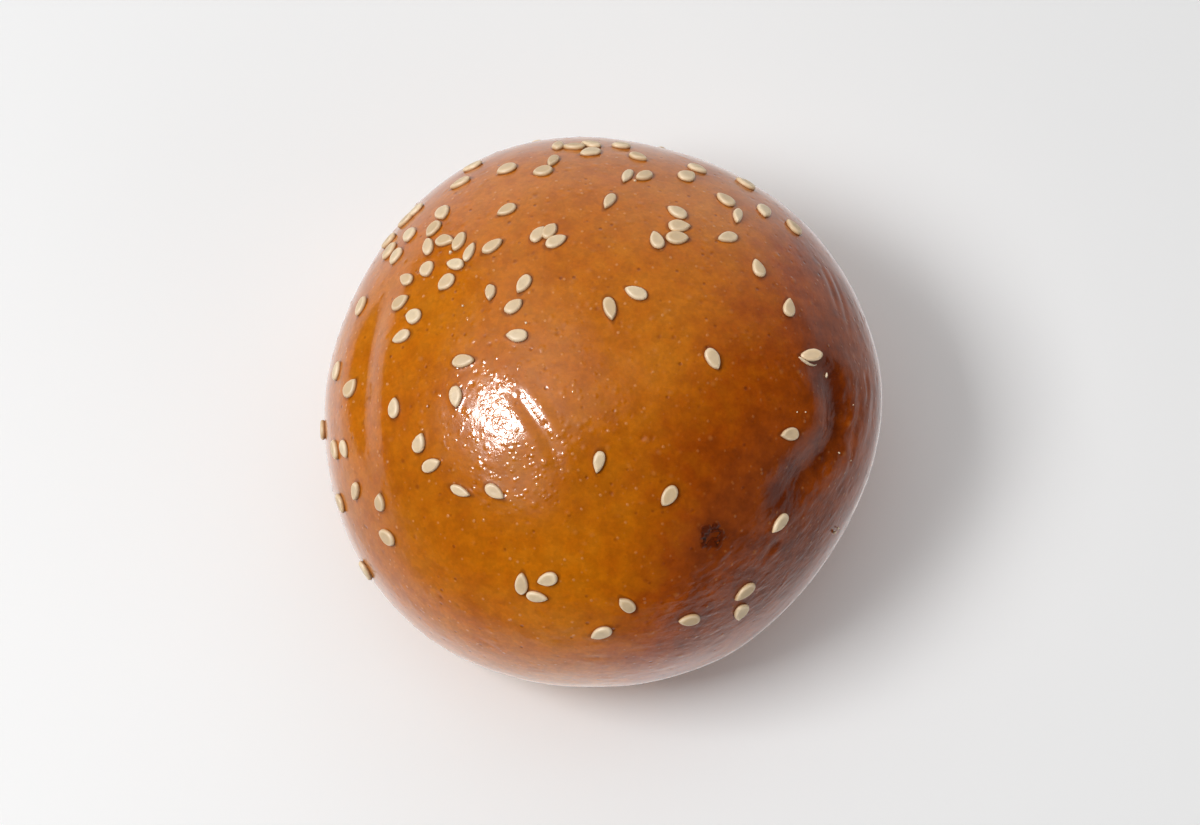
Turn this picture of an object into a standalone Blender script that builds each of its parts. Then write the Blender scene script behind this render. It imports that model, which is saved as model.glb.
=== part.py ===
"""A slider bun: one small domed roll, with sesame seeds baked onto its egg-washed crust.

Metres, +Z up. The origin is the middle of the flat base, and the front faces -Y. Seeds and creases are
placed as they show from one viewpoint, high above the front: by pixels right and down in that picture.
"""

import math
import random

import bmesh
import bpy
from mathutils import Matrix, Vector, noise
from mathutils.bvhtree import BVHTree

MM = 0.001

# The roll
WIDTH = 76 * MM  # mean width at the widest level
HEIGHT = 46 * MM  # base to crown
WAIST = 16 * MM  # height of the widest level
UNDER_DEPTH = 21 * MM  # the lower curve would close this far below the waist, but the base cuts it flat
DOME_POWER = 2.12  # 2 is an ellipse; more is fuller at the shoulder
UNDER_POWER = 2.5
BASE_EDGE = 0.6 * MM  # softness of the edge round the flat base
FLAT_BELOW = 0.05 * MM  # what lies lower than this is the flat base itself
CRUST_LEVELS = 5  # subdivisions of the starting sphere
# The plan isn't quite round: waves round it, share of the radius, and the direction of the first crest
LOBES = ((2, 0.0084, 61), (3, 0.0128, 4), (4, 0.0078, 17), (6, 0.0025, -8))
# Slow swells of the crust: their size across, and how far they stand out or in
SWELLS = ((26 * MM, 0.55 * MM), (11 * MM, 0.16 * MM))

# The viewpoint of the picture that places are read from
VIEW_ELEVATION = math.radians(70)
VIEW_DISTANCE = 455 * MM
VIEW_TARGET = Vector((-0.1 * MM, 0, 15.4 * MM))
FOCAL_PX = 1200 * 100 / 36  # a picture 1200 pixels wide, through a 100 mm lens on a 36 mm frame
MIDDLE_PX = (600, 412.5)

# Creases: depth, half width, and the pixels that each one runs through
CREASES = (
    (0.85 * MM, 1.9 * MM,
     ((822, 370), (832, 388), (836, 410), (834, 434), (822, 454), (805, 471), (786, 492))),
    (0.35 * MM, 1.2 * MM, ((855, 384), (859, 412), (851, 446))),
    (0.20 * MM, 0.80 * MM, ((518, 396), (527, 409), (540, 428), (552, 447), (560, 466))),
    (0.33 * MM, 3.0 * MM, ((482, 476), (507, 474), (532, 470), (557, 462))),
    (0.60 * MM, 2.0 * MM,
     ((382, 296), (373, 322), (367, 348), (364, 375), (363, 402), (364, 430), (369, 458))),
)
CREASE_LIP = 0.35  # dough that folds in piles up on both sides, by this share of the depth
# Broad soft dents, and a small burnt blister that fell in: depth, radius, and the pixel of the middle
DENTS = (
    (0.50 * MM, 6.0 * MM, (608, 488)),
    (0.50 * MM, 5.0 * MM, (806, 480)),
    (0.45 * MM, 1.4 * MM, (712, 539)),
)
FINE_DENT = 2 * MM  # round creases and dents narrower than this, the crust's faces are smaller

# Sesame seeds
SEED_LENGTH = 2.90 * MM
SEED_WIDTH = 1.78 * MM
SEED_THICKNESS = 0.95 * MM
SEED_TAPER = 0.42  # how much narrower the tip is than the round end
SEED_LIFT = 0.15 * MM  # of its middle above the crust
SEED_SPREAD = 0.07  # how much lengths and widths vary
SEED_SIDES = 8
SEED_LEVELS = ((0.3, 0.76), (-0.1, 1))  # height as a share of the thickness, and the share of the full outline
RANDOM_SEED = 7
# Each seed that shows: pixels right and down, and the way its tip points, in degrees from right towards up
SEEDS = (
    (558, 147, 90), (574, 148, 180), (591, 146, 170), (590, 153, 190), (621, 147, 180), (638, 158, 340),
    (507, 170, 209), (543, 172, 187), (553, 162, 240), (473, 168, 205), (461, 184, 208), (627, 177, 240),
    (644, 177, 205), (687, 177, 20), (697, 170, 335), (745, 185, 150), (725, 201, 147), (737, 217, 258),
    (764, 212, 285), (793, 228, 130), (727, 238, 187), (609, 202, 238), (507, 211, 209), (677, 213, 147),
    (679, 227, 0), (677, 239, 356), (657, 241, 105), (538, 235, 57), (550, 232, 52), (556, 242, 26),
    (493, 247, 31), (460, 242, 65), (470, 253, 66), (446, 241, 5), (443, 214, 276), (434, 230, 238),
    (410, 236, 250), (429, 247, 96), (428, 270, 290), (407, 280, 155), (456, 265, 170), (447, 283, 232),
    (397, 257, 245), (390, 252, 235), (390, 242, 228), (416, 212, 225), (407, 221, 225), (401, 303, 38),
    (414, 317, 180), (362, 307, 250), (402, 337, 203), (491, 293, 268), (524, 285, 245), (514, 307, 33),
    (517, 336, 178), (464, 361, 10), (456, 397, 270), (610, 309, 282), (636, 293, 152), (713, 359, 300),
    (758, 269, 106), (788, 308, 92), (809, 356, 175), (789, 434, 183), (351, 388, 58), (338, 371, 75),
    (395, 408, 84), (420, 443, 72), (432, 465, 25), (336, 450, 282), (345, 449, 286), (357, 491, 265),
    (381, 502, 88), (342, 503, 290), (388, 537, 150), (367, 570, 300), (323, 430, 90), (461, 491, 338),
    (495, 492, 322), (599, 462, 262), (669, 496, 238), (522, 583, 85), (548, 579, 200), (537, 596, 350),
    (627, 604, 134), (601, 632, 200), (689, 619, 183), (744, 591, 217), (740, 611, 246), (779, 523, 228),
)
# Those that are plainly longer, shorter, broader or slimmer than the rest, by the same pixels
LONG_SEEDS = ((590, 153), (737, 217), (610, 309), (809, 356), (522, 583), (744, 591), (779, 523))
SHORT_SEEDS = ((410, 236), (491, 293), (414, 317), (345, 449), (357, 491), (381, 502), (428, 270))
BROAD_SEEDS = (
    (590, 153), (507, 170), (543, 172), (687, 177), (725, 201), (793, 228), (679, 227), (677, 239), (443, 214),
    (434, 230), (410, 236), (428, 270), (447, 283), (397, 257), (390, 252), (401, 303), (414, 317), (351, 388),
    (388, 537), (740, 611), (764, 212),
)
SLIM_SEEDS = (
    (553, 162), (627, 177), (737, 217), (609, 202), (470, 253), (491, 293), (357, 491), (461, 491), (599, 462),
    (537, 596),
)
ODD_LENGTH = 0.13  # how much longer or shorter those are
ODD_WIDTH = 0.22
LEANING_SEED = (809, 356)  # its round end stands off the crust
LEAN = math.radians(36)
LEANING_SINK = 0.1 * MM
# Seeds on the back, out of that view: degrees round from the right, height, and the way the tip points, in
# degrees from level towards up
BACK_SEEDS = (
    (57, 20.5 * MM, 40), (70, 13.5 * MM, 200), (77, 21 * MM, 100), (91, 17 * MM, 320), (103, 21 * MM, 250),
    (109, 12 * MM, 160), (126, 18.5 * MM, 60), (143, 15 * MM, 290),
)


def clear_scene():
    for old in list(bpy.data.objects):
        bpy.data.objects.remove(old)


def material(name, colour, roughness):
    made = bpy.data.materials.new(name)
    made.use_nodes = True
    shader = made.node_tree.nodes["Principled BSDF"]
    shader.inputs["Base Color"].default_value = (*colour, 1)
    shader.inputs["Roughness"].default_value = roughness
    shader.inputs["Metallic"].default_value = 0
    return made


def on_soft_floor(height):
    """The height, eased to nothing at the base. Well above the base nothing changes."""
    height = BASE_EDGE * math.log1p(math.exp(height / BASE_EDGE))
    return height if height > FLAT_BELOW else 0


def roll_point(direction):
    """The smooth roll's surface in this direction from the middle of its waist."""
    flat = math.hypot(direction.x, direction.y)
    depth, power = (HEIGHT - WAIST, DOME_POWER) if direction.z > 0 else (UNDER_DEPTH, UNDER_POWER)
    reach = ((flat / (WIDTH / 2)) ** power + (abs(direction.z) / depth) ** power) ** (-1 / power)
    turn = math.atan2(direction.y, direction.x)
    lobes = sum(share * math.cos(waves * (turn - math.radians(crest))) for waves, share, crest in LOBES)
    x, y, z = direction * reach
    return Vector((x * (1 + lobes), y * (1 + lobes), on_soft_floor(z + WAIST)))


def view_axes():
    """Right, up and forward of the viewpoint, and where it is."""
    back = Vector((0, -math.cos(VIEW_ELEVATION), math.sin(VIEW_ELEVATION)))
    right = Vector((1, 0, 0))
    return right, back.cross(right), -back, VIEW_TARGET + back * VIEW_DISTANCE


def seen(surface, x, y):
    """The point and outward normal of the surface at this pixel. One just past the outline is brought in."""
    right, up, forward, eye = view_axes()
    across, rise = x - MIDDLE_PX[0], MIDDLE_PX[1] - y
    for _ in range(100):
        ray = (forward * FOCAL_PX + right * across + up * rise).normalized()
        point, normal, _, _ = surface.ray_cast(eye, ray)
        if point is not None:
            return point, normal
        across, rise = across * 0.998, rise * 0.998
    raise ValueError(f"pixel {x}, {y} is far outside the roll")


def smooth_path(points, steps=8):
    """A curve through the points, closely stepped."""
    ends = [points[0] * 2 - points[1], *points, points[-1] * 2 - points[-2]]
    path = []
    for a, b, c, d in zip(ends, ends[1:], ends[2:], ends[3:]):
        for step in range(steps):
            t = step / steps
            bend = (2 * a - 5 * b + 4 * c - d) * t**2 + (3 * b - a - 3 * c + d) * t**3
            path.append(b + ((c - a) * t + bend) / 2)
    return [*path, points[-1]]


def hollows_of(surface):
    """Every crease and dent as its half width and a list of points with the depth at each."""
    hollows = []
    for depth, width, pixels in CREASES:
        path = smooth_path([seen(surface, *pixel)[0] for pixel in pixels])
        fades = [math.sin(math.pi * (place + 1) / (len(path) + 1)) ** 0.5 for place in range(len(path))]
        hollows.append((width, [(point, depth * fade) for point, fade in zip(path, fades)], CREASE_LIP))
    for depth, width, pixel in DENTS:
        hollows.append((width, [(seen(surface, *pixel)[0], depth)], 0))
    return hollows


def bell(distance, width):
    return math.exp(-((distance / width) ** 2))


def nearest(point, path):
    return min(((point - middle).length, depth) for middle, depth in path)


def relief(point, hollows):
    """How far the crust stands out from the smooth roll at this point."""
    out = sum(size * noise.noise(point / across) for across, size in SWELLS)
    for width, path, lip in hollows:
        distance, depth = nearest(point, path)
        out -= depth * (bell(distance, width) - lip * bell(distance - 2.2 * width, width))
    return out


def refine(bm, hollows):
    """Divides the unit sphere's edges that lie round the narrow creases and dents."""
    narrow = [(width, path) for width, path, _ in hollows if width < FINE_DENT]
    close = set()
    for vertex in bm.verts:
        point = roll_point(vertex.co)
        if any(nearest(point, path)[0] < 1.8 * width for width, path in narrow):
            close.add(vertex)
    edges = [edge for edge in bm.edges if close.issuperset(edge.verts)]
    bmesh.ops.subdivide_edges(bm, edges=edges, cuts=1, use_grid_fill=True)
    bmesh.ops.triangulate(bm, faces=bm.faces)
    for vertex in bm.verts:
        vertex.co.normalize()


def make_roll():
    """The roll without its seeds, and its surface for casting."""
    bm = bmesh.new()
    bmesh.ops.create_icosphere(bm, subdivisions=CRUST_LEVELS, radius=1)
    smooth = bm.copy()
    for vertex in smooth.verts:
        vertex.co = roll_point(vertex.co)
    hollows = hollows_of(BVHTree.FromBMesh(smooth))
    smooth.free()
    refine(bm, hollows)
    for vertex in bm.verts:
        vertex.co = roll_point(vertex.co)
    bm.normal_update()
    raised = [vertex for vertex in bm.verts if vertex.co.z > 0]
    places = [vertex.co + vertex.normal * relief(vertex.co, hollows) for vertex in raised]
    for vertex, place in zip(raised, places):
        vertex.co = place
        vertex.co.z = max(place.z, 0)
    surface = BVHTree.FromBMesh(bm)
    mesh = bpy.data.meshes.new("bun")
    bm.to_mesh(mesh)
    bm.free()
    mesh.materials.append(material("crust", (0.50, 0.20, 0.05), 0.3))
    mesh.shade_smooth()
    roll = bpy.data.objects.new("bun", mesh)
    bpy.context.collection.objects.link(roll)
    return roll, surface


def lying(point, normal, tip):
    """The frame of a seed that lies on the crust: X to its tip, Z off the crust."""
    across = normal.cross(tip).normalized()
    frame = Matrix((across.cross(normal), across, normal)).transposed().to_4x4()
    frame.translation = point + normal * SEED_LIFT
    return frame


def leaning(frame):
    """The frame of a seed whose tip is sunk in the crust and whose round end is up."""
    tip = Vector((SEED_LENGTH * 0.4, 0, 0))
    sunk = tip - Vector((0, 0, SEED_LIFT + LEANING_SINK))
    return frame @ Matrix.Translation(sunk) @ Matrix.Rotation(LEAN, 4, "Y") @ Matrix.Translation(-tip)


def odd_size(seed):
    """How much longer and wider than usual the seed at this pixel is."""
    length = 1 + ODD_LENGTH * ((seed in LONG_SEEDS) - (seed in SHORT_SEEDS))
    width = 1 + ODD_WIDTH * ((seed in BROAD_SEEDS) - (seed in SLIM_SEEDS))
    return length, width


def shown_seeds(surface):
    """The frame of each seed that shows, and how much longer and wider than usual it is."""
    right, up, forward, _ = view_axes()
    for x, y, turn in SEEDS:
        point, normal = seen(surface, x, y)
        angle = math.radians(turn)
        across, rise = math.cos(angle), math.sin(angle)
        # Along the line of sight, as far as the crust slopes away
        deep = -(across * right.dot(normal) + rise * up.dot(normal)) / min(forward.dot(normal), -0.12)
        frame = lying(point, normal, right * across + up * rise + forward * deep)
        yield leaning(frame) if (x, y) == LEANING_SEED else frame, odd_size((x, y))


def back_seeds(surface):
    for round_from_right, height, turn in BACK_SEEDS:
        angle = math.radians(round_from_right)
        outward = Vector((math.cos(angle), math.sin(angle), 0))
        point, normal, _, _ = surface.ray_cast(Vector((0, 0, height)), outward)
        level = Vector((0, 0, 1)).cross(outward)
        tip = level * math.cos(math.radians(turn)) + Vector((0, 0, 1)) * math.sin(math.radians(turn))
        yield lying(point, normal, tip), (1, 1)


def seed_ring(length, width, height, share):
    """Points round a seed at this height. The outline is a teardrop with its tip at +X."""
    for side in range(SEED_SIDES):
        angle = 2 * math.pi * side / SEED_SIDES
        x, y = share * math.cos(angle), share * math.sin(angle)
        taper = 1 - SEED_TAPER * ((x + 1) / 2) ** 2
        yield Vector((x * length / 2, y * width / 2 * taper, height * SEED_THICKNESS))


def make_seed(frame, longer, wider, rng, collection):
    length = SEED_LENGTH * longer * (1 + rng.uniform(-SEED_SPREAD, SEED_SPREAD))
    width = SEED_WIDTH * wider * (1 + rng.uniform(-SEED_SPREAD, SEED_SPREAD))
    bm = bmesh.new()
    top = bm.verts.new((0, 0, SEED_THICKNESS / 2))
    bottom = bm.verts.new((0, 0, -SEED_THICKNESS / 2))
    upper, lower = [[bm.verts.new(p) for p in seed_ring(length, width, *level)] for level in SEED_LEVELS]
    for side in range(SEED_SIDES):
        after = (side + 1) % SEED_SIDES
        bm.faces.new((top, upper[side], upper[after]))
        bm.faces.new((upper[side], lower[side], lower[after]))
        bm.faces.new((upper[side], lower[after], upper[after]))
        bm.faces.new((bottom, lower[after], lower[side]))
    bm.transform(frame)
    mesh = bpy.data.meshes.new("seed")
    bm.to_mesh(mesh)
    bm.free()
    collection.objects.link(bpy.data.objects.new("seed", mesh))


def fuse(roll, seeds):
    """Joins the seeds to the roll in one union, and removes the seeds."""
    union = roll.modifiers.new("seeds", "BOOLEAN")
    union.operation = "UNION"
    union.operand_type = "COLLECTION"
    union.collection = seeds
    union.solver = "EXACT"
    fused = bpy.data.meshes.new_from_object(roll.evaluated_get(bpy.context.evaluated_depsgraph_get()))
    roll.modifiers.remove(union)
    roll.data = fused
    for seed in list(seeds.objects):
        bpy.data.objects.remove(seed)
    bpy.data.collections.remove(seeds)


def main():
    clear_scene()
    rng = random.Random(RANDOM_SEED)
    roll, surface = make_roll()
    seeds = bpy.data.collections.new("seeds")
    bpy.context.scene.collection.children.link(seeds)
    for frame, (longer, wider) in (*shown_seeds(surface), *back_seeds(surface)):
        make_seed(frame, longer, wider, rng, seeds)
    fuse(roll, seeds)


main()
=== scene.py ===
"""How the slider bun looks: an egg-washed crust with blisters, creases and pores, and sesame seeds baked on.

Metres, +Z up. The roll's form, its creases and the seeds' places repeat those of the solid model, and the
camera stands at the viewpoint that the places are read from: by pixels right and down in a picture 1200 wide.
"""

import math
import random

import bmesh
import bpy
import numpy as np
from mathutils import Matrix, Vector, noise
from mathutils.bvhtree import BVHTree
from mathutils.kdtree import KDTree


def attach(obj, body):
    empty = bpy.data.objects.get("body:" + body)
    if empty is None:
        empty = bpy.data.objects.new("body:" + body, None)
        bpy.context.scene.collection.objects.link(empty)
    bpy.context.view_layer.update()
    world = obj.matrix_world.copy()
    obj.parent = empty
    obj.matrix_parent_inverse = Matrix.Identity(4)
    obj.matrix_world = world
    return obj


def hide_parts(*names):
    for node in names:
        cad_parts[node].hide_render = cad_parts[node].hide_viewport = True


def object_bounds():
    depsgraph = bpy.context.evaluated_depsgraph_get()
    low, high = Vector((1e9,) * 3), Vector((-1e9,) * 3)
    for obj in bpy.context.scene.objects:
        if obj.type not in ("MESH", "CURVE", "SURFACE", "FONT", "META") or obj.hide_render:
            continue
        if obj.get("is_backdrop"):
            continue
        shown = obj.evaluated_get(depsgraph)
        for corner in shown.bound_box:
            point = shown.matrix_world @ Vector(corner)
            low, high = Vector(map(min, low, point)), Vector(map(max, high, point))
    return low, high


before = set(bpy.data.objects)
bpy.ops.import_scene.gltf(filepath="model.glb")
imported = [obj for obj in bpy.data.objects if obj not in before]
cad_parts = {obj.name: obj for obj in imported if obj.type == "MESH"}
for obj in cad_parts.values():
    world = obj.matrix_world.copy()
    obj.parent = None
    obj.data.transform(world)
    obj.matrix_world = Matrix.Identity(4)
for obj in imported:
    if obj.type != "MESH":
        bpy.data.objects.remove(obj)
cad_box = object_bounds()

MM = 0.001

# The roll, as in the solid model
WIDTH = 76 * MM
HEIGHT = 46 * MM
WAIST = 16 * MM
UNDER_DEPTH = 21 * MM
DOME_POWER = 2.12
UNDER_POWER = 2.5
BASE_EDGE = 0.6 * MM
FLAT_BELOW = 0.05 * MM
LOBES = ((2, 0.0084, 61), (3, 0.0128, 4), (4, 0.0078, 17), (6, 0.0025, -8))
SWELLS = ((26 * MM, 0.55 * MM), (11 * MM, 0.16 * MM))
# Depth and half width in mm, and the pixels that each one runs through
CREASES = (
    (0.85, 1.9, ((822, 370), (832, 388), (836, 410), (834, 434), (822, 454), (805, 471), (786, 492))),
    (0.35, 1.2, ((855, 384), (859, 412), (851, 446))),
    (0.2, 0.8, ((518, 396), (527, 409), (540, 428), (552, 447), (560, 466))),
    (0.33, 3, ((482, 476), (507, 474), (532, 470), (557, 462))),
    (0.6, 2, ((382, 296), (373, 322), (367, 348), (364, 375), (363, 402), (364, 430), (369, 458))),
)
CREASE_LIP = 0.35  # how much a crease's sides pile up, as a share of its depth
LIP_AT = 2.2  # half widths from its middle
VALLEY = CREASES[0][2]  # the deep one on the right
GROOVE = CREASES[2][2]  # the narrow one by the highlight
DENTS = (  # depth and half width in mm, and the pixel
    (0.5, 6, (608, 488)),
    (0.5, 5, (806, 480)),
    (0.45, 1.4, (712, 539)),
)

# The viewpoint
VIEW_ELEVATION = math.radians(70)
VIEW_DISTANCE = 455 * MM
VIEW_TARGET = Vector((-0.1 * MM, 0, 15.4 * MM))
LENS = 100  # mm, on a frame 36 mm wide
FRAME_WIDTH = 36
FOCAL_PX = 1200 * LENS / FRAME_WIDTH
CLIP_START = 10 * MM
STEP_IN = 0.998  # towards the middle, for a pixel just past the outline
STEEPEST = -0.12  # slope towards the viewpoint at which a seed is still laid along the crust
MIDDLE_PX = (600, 412.5)

# Sesame seeds, as in the solid model
SEED_LENGTH = 2.90 * MM
SEED_WIDTH = 1.78 * MM
SEED_THICKNESS = 0.95 * MM
SEED_LIFT = 0.15 * MM
SEED_SPREAD = 0.07
RANDOM_SEED = 7
# The pixel and turn of each, and whether it is longer (+), shorter (-), wider (w) or narrower (n) than usual
SEEDS = (
    (558, 147, 90), (574, 148, 180), (591, 146, 170), (590, 153, 190, "+w"), (621, 147, 180),
    (638, 158, 340), (507, 170, 209, "w"), (543, 172, 187, "w"), (553, 162, 240, "n"), (473, 168, 205),
    (461, 184, 208), (627, 177, 240, "n"), (644, 177, 205), (687, 177, 20, "w"), (697, 170, 335),
    (745, 185, 150), (725, 201, 147, "w"), (737, 217, 258, "+n"), (764, 212, 285, "w"),
    (793, 228, 130, "w"), (727, 238, 187), (609, 202, 238, "n"), (507, 211, 209), (677, 213, 147),
    (679, 227, 0, "w"), (677, 239, 356, "w"), (657, 241, 105), (538, 235, 57), (550, 232, 52),
    (556, 242, 26), (493, 247, 31), (460, 242, 65), (470, 253, 66, "n"), (446, 241, 5),
    (443, 214, 276, "w"), (434, 230, 238, "w"), (410, 236, 250, "-w"), (429, 247, 96),
    (428, 270, 290, "-w"), (407, 280, 155), (456, 265, 170), (447, 283, 232, "w"), (397, 257, 245, "w"),
    (390, 252, 235, "w"), (390, 242, 228), (416, 212, 225), (407, 221, 225), (401, 303, 38, "w"),
    (414, 317, 180, "-w"), (362, 307, 250), (402, 337, 203), (491, 293, 268, "-n"), (524, 285, 245),
    (514, 307, 33), (517, 336, 178), (464, 361, 10), (456, 397, 270), (610, 309, 282, "+"),
    (636, 293, 152), (713, 359, 300), (758, 269, 106), (788, 308, 92), (809, 356, 175, "+"),
    (789, 434, 183), (351, 388, 58, "w"), (338, 371, 75), (395, 408, 84), (420, 443, 72), (432, 465, 25),
    (336, 450, 282), (345, 449, 286, "-"), (357, 491, 265, "-n"), (381, 502, 88, "-"), (342, 503, 290),
    (388, 537, 150, "w"), (367, 570, 300), (323, 430, 90), (461, 491, 338, "n"), (495, 492, 322),
    (599, 462, 262, "n"), (669, 496, 238), (522, 583, 85, "+"), (548, 579, 200), (537, 596, 350, "n"),
    (627, 604, 134), (601, 632, 200), (689, 619, 183), (744, 591, 217, "+"), (740, 611, 246, "w"),
    (779, 523, 228, "+"),
)
ODD_LENGTH = 0.13
ODD_WIDTH = 0.22
LEANING_SEED = (809, 356)
LEAN = math.radians(36)
LEANING_SINK = 0.1 * MM
LEANING_TIP = 0.4  # where it stands, as a share of its length from its middle
BACK_SEEDS = (  # degrees round from the right, height, and turn
    (57, 20.5 * MM, 40), (70, 13.5 * MM, 200), (77, 21 * MM, 100), (91, 17 * MM, 320), (103, 21 * MM, 250),
    (109, 12 * MM, 160), (126, 18.5 * MM, 60), (143, 15 * MM, 290),
)
SEED_SIDES = 28
SEED_TOP = np.array([0.25, 0.5, 0.68, 0.8, 0.89, 0.95, 0.985, 1.0])  # rings of the upper side, to its edge
SEED_UNDER = np.array([0.97, 0.88, 0.7, 0.4])
SEED_TOP_POWER = 4.5  # the more, the flatter
SEED_UNDER_POWER = 2.4
SEED_HOLLOW = 0.55  # how wide the hollow in its middle is
SEED_RIM = (0.6, 0.82, 0.1)  # its height as a share of the hollow's depth, its ring and its width
# What varies from seed to seed
SEED_RIDGES = (0.0, 0.02, 0.05, 0.09)  # the hollow's depth, as a share of the thickness
SEED_BENDS = (-0.12, 0.2)  # mm at the ends
SEED_WAVES = ((2, 0.03), (3, 0.035), (5, 0.02))  # of its outline: how many, and their height at most
SEED_POINTED = (0.28, 0.62)
SEED_BENT = (-0.22, 0.22)
SEED_THICKNESSES = (0.88, 1.02)

# The crust's fine relief
CRUST_GRID = 180  # squares along each side of the cube that its mesh is blown up from
CROWDING = (0.5, 0.1)  # how much closer the mesh is on the dome than under the base
LUMPS = ((5 * MM, 0.045 * MM), (2.2 * MM, 0.014 * MM))
WRINKLES = (  # as the creases
    (-0.16, 0.5, ((842, 392), (843, 412), (842, 432), (845, 452), (844, 470))),
    (0.2, 0.5, ((846, 372), (850, 386), (847, 400))),
    (0.2, 0.5, ((861, 404), (859, 418), (854, 434), (853, 448))),
    (-0.16, 0.45, ((856, 392), (853, 408), (848, 424), (846, 438))),
    (0.16, 0.45, ((866, 376), (868, 392), (866, 408))),
    (0.14, 0.45, ((850, 440), (852, 452), (849, 462))),
    (-0.14, 0.5, ((794, 488), (783, 504), (769, 514))),
    (0.22, 0.5, ((778, 540), (771, 548), (763, 557))),
    (-0.08, 0.4, ((807, 523), (799, 532), (790, 541))),
    (0.08, 0.4, ((808, 506), (803, 514), (797, 523))),
    (0.1, 0.5, ((818, 262), (830, 286), (838, 312))),
    (0.1, 0.5, ((830, 272), (842, 300), (848, 330))),
    (0.07, 1, ((534, 380), (546, 398), (559, 418), (571, 438))),
    (-0.16, 3, ((482, 476), (507, 474), (532, 470), (557, 462))),
    (0.07, 0.3, ((858, 410), (853, 420), (847, 431))),
    (-0.07, 0.28, ((853, 411), (848, 422), (843, 434))),
    (0.08, 0.3, ((864, 374), (867, 384), (868, 394))),
    (0.07, 0.28, ((848, 384), (845, 398), (848, 412))),
    (0.07, 0.3, ((857, 428), (855, 442), (857, 454))),
    (0.08, 0.3, ((790, 376), (797, 384), (803, 394))),
    (0.07, 0.28, ((786, 384), (794, 392), (800, 400))),
    (-0.1, 0.35, ((717, 563), (722, 557), (729, 550))),
    (-0.08, 0.3, ((712, 570), (718, 566), (722, 563))),
)
# How many, their radius, and their rise as a share of it
BLISTERS = (1900, (0.30 * MM, 0.65 * MM), (0.03, 0.13))
PITS = (420, (0.3 * MM, 0.55 * MM), (0.08, 0.16))
MARKS_FROM = 6 * MM  # no blisters or pits lie lower
MARKS_UP = (-0.3, 1)  # how steeply down and up from the waist's middle they are looked for
MARK_DEPTH = 0.06 * MM  # of a blister or pit that shows fully in the colour
GLEAM = (504, 418)  # where the egg wash is thickest
GLEAM_ACROSS = 6.11 * MM
STREAK = ((522, 394), (535, 411), (549, 430))  # and beside the groove
STREAK_ACROSS = 0.9 * MM
GROOVE_ACROSS = 1.4 * MM
GROOVE_THINS = 0.5  # how much of the egg wash ran off it
GROOVE_CLEAR = 0.7 * MM  # no bubbles lie nearer to it
# Bubbles in the egg wash: how many, their radius, their rise as a share of it, and round which pixel
BUBBLES = (
    (110, (0.26 * MM, 0.46 * MM), (0.04, 0.09), ((496, 414), 4.0 * MM)),
    (60, (0.26 * MM, 0.42 * MM), (0.05, 0.10), ((526, 446), 8 * MM)),
    (170, (0.20 * MM, 0.34 * MM), (0.03, 0.08), ((560, 330), 34 * MM)),
)
BRIGHT_BUBBLES = (
    (484, 361), (497, 357), (519, 364), (507, 377), (516, 383), (471, 364), (556, 377), (574, 381),
    (579, 391), (581, 397), (596, 396), (624, 401), (595, 374), (558, 437), (570, 436), (580, 439),
    (564, 443), (571, 449), (564, 454), (533, 449), (532, 456), (512, 449), (514, 459), (531, 465),
    (544, 471), (541, 476), (537, 478), (564, 479), (551, 485), (544, 491), (544, 497), (526, 491),
    (550, 496), (556, 492), (518, 497), (511, 502), (514, 506), (509, 514), (491, 474), (474, 483),
    (447, 449), (441, 461), (472, 469), (479, 458), (477, 441), (474, 436), (515, 480), (556, 504),
    (606, 509), (634, 504), (546, 499), (522, 496),
)
BRIGHT_RADIUS = (0.36, 0.50)  # mm
BRIGHT_RISE = (0.08, 0.12)
BUBBLE_SINK = 0.006 * MM
BUBBLE_RINGS = (0.2, 0.4, 0.6, 0.8, 1)
BUBBLE_SIDES = 12
DULL = ((848, 380), (852, 400), (852, 420), (851, 440), (850, 456))  # wrinkled skin without egg wash
DULL_ACROSS = 1.5 * MM
CREASE_SHADE_ACROSS = 2.8 * MM  # the painted shade along the deep crease
# Short marks that run level round the sides, where the dough stretched, most of them at the right front
STROKES = 330
STROKE_TURN = (math.radians(-25), math.radians(55))
STROKE_HEIGHT = (5 * MM, 34 * MM)
STROKE_TILT = 0.25
STROKE_LENGTH = (0.8 * MM, 2.2 * MM)
STROKE_WIDTH = (0.3 * MM, 0.5 * MM)
STROKE_DEPTH = (0.02 * MM, 0.06 * MM)
STROKE_REACH = 1.5  # how far from its middle it still shows, in lengths, and how softly it ends
STROKE_FADE = 0.6
ROUGH_ZONES = (  # pixel, and mm across
    ((842, 412), 5), ((828, 468), 3), ((802, 522), 7), ((765, 575), 7),
    ((700, 610), 6), ((797, 472), 3.5),
)
# Folds and clefts of the rough skin: their depth and size, and how many times as long as high they are
FOLDS = ((0.06 * MM, 3.4 * MM), (0.04 * MM, 1.9 * MM))
CLEFTS = (0.10 * MM, 2.6 * MM)
FOLDS_LEVEL = (1, 1, 2.6)
WRINKLE_LIP = 0.2
WAIST_PULL = 0.13 * MM  # how much lower the relief lies at the waist, so that it stays inside the solid's box
WAIST_BAND = 7 * MM
BASE_FADE = (0.3 * MM, 2 * MM)  # the relief starts at this height, and is full this much higher
BOX_GAP = 0.005 * MM
COLLAR_HEIGHT = 0.035 * MM  # egg wash dried up against a seed
COLLAR_WIDTH = 0.45 * MM
# How far from a seed the crust is darkened: pooled egg wash and painted contact shade
SEED_SHADE_REACH = 0.6 * MM
SEED_TAPER = 0.42  # how much narrower the collar is at the tip

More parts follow.
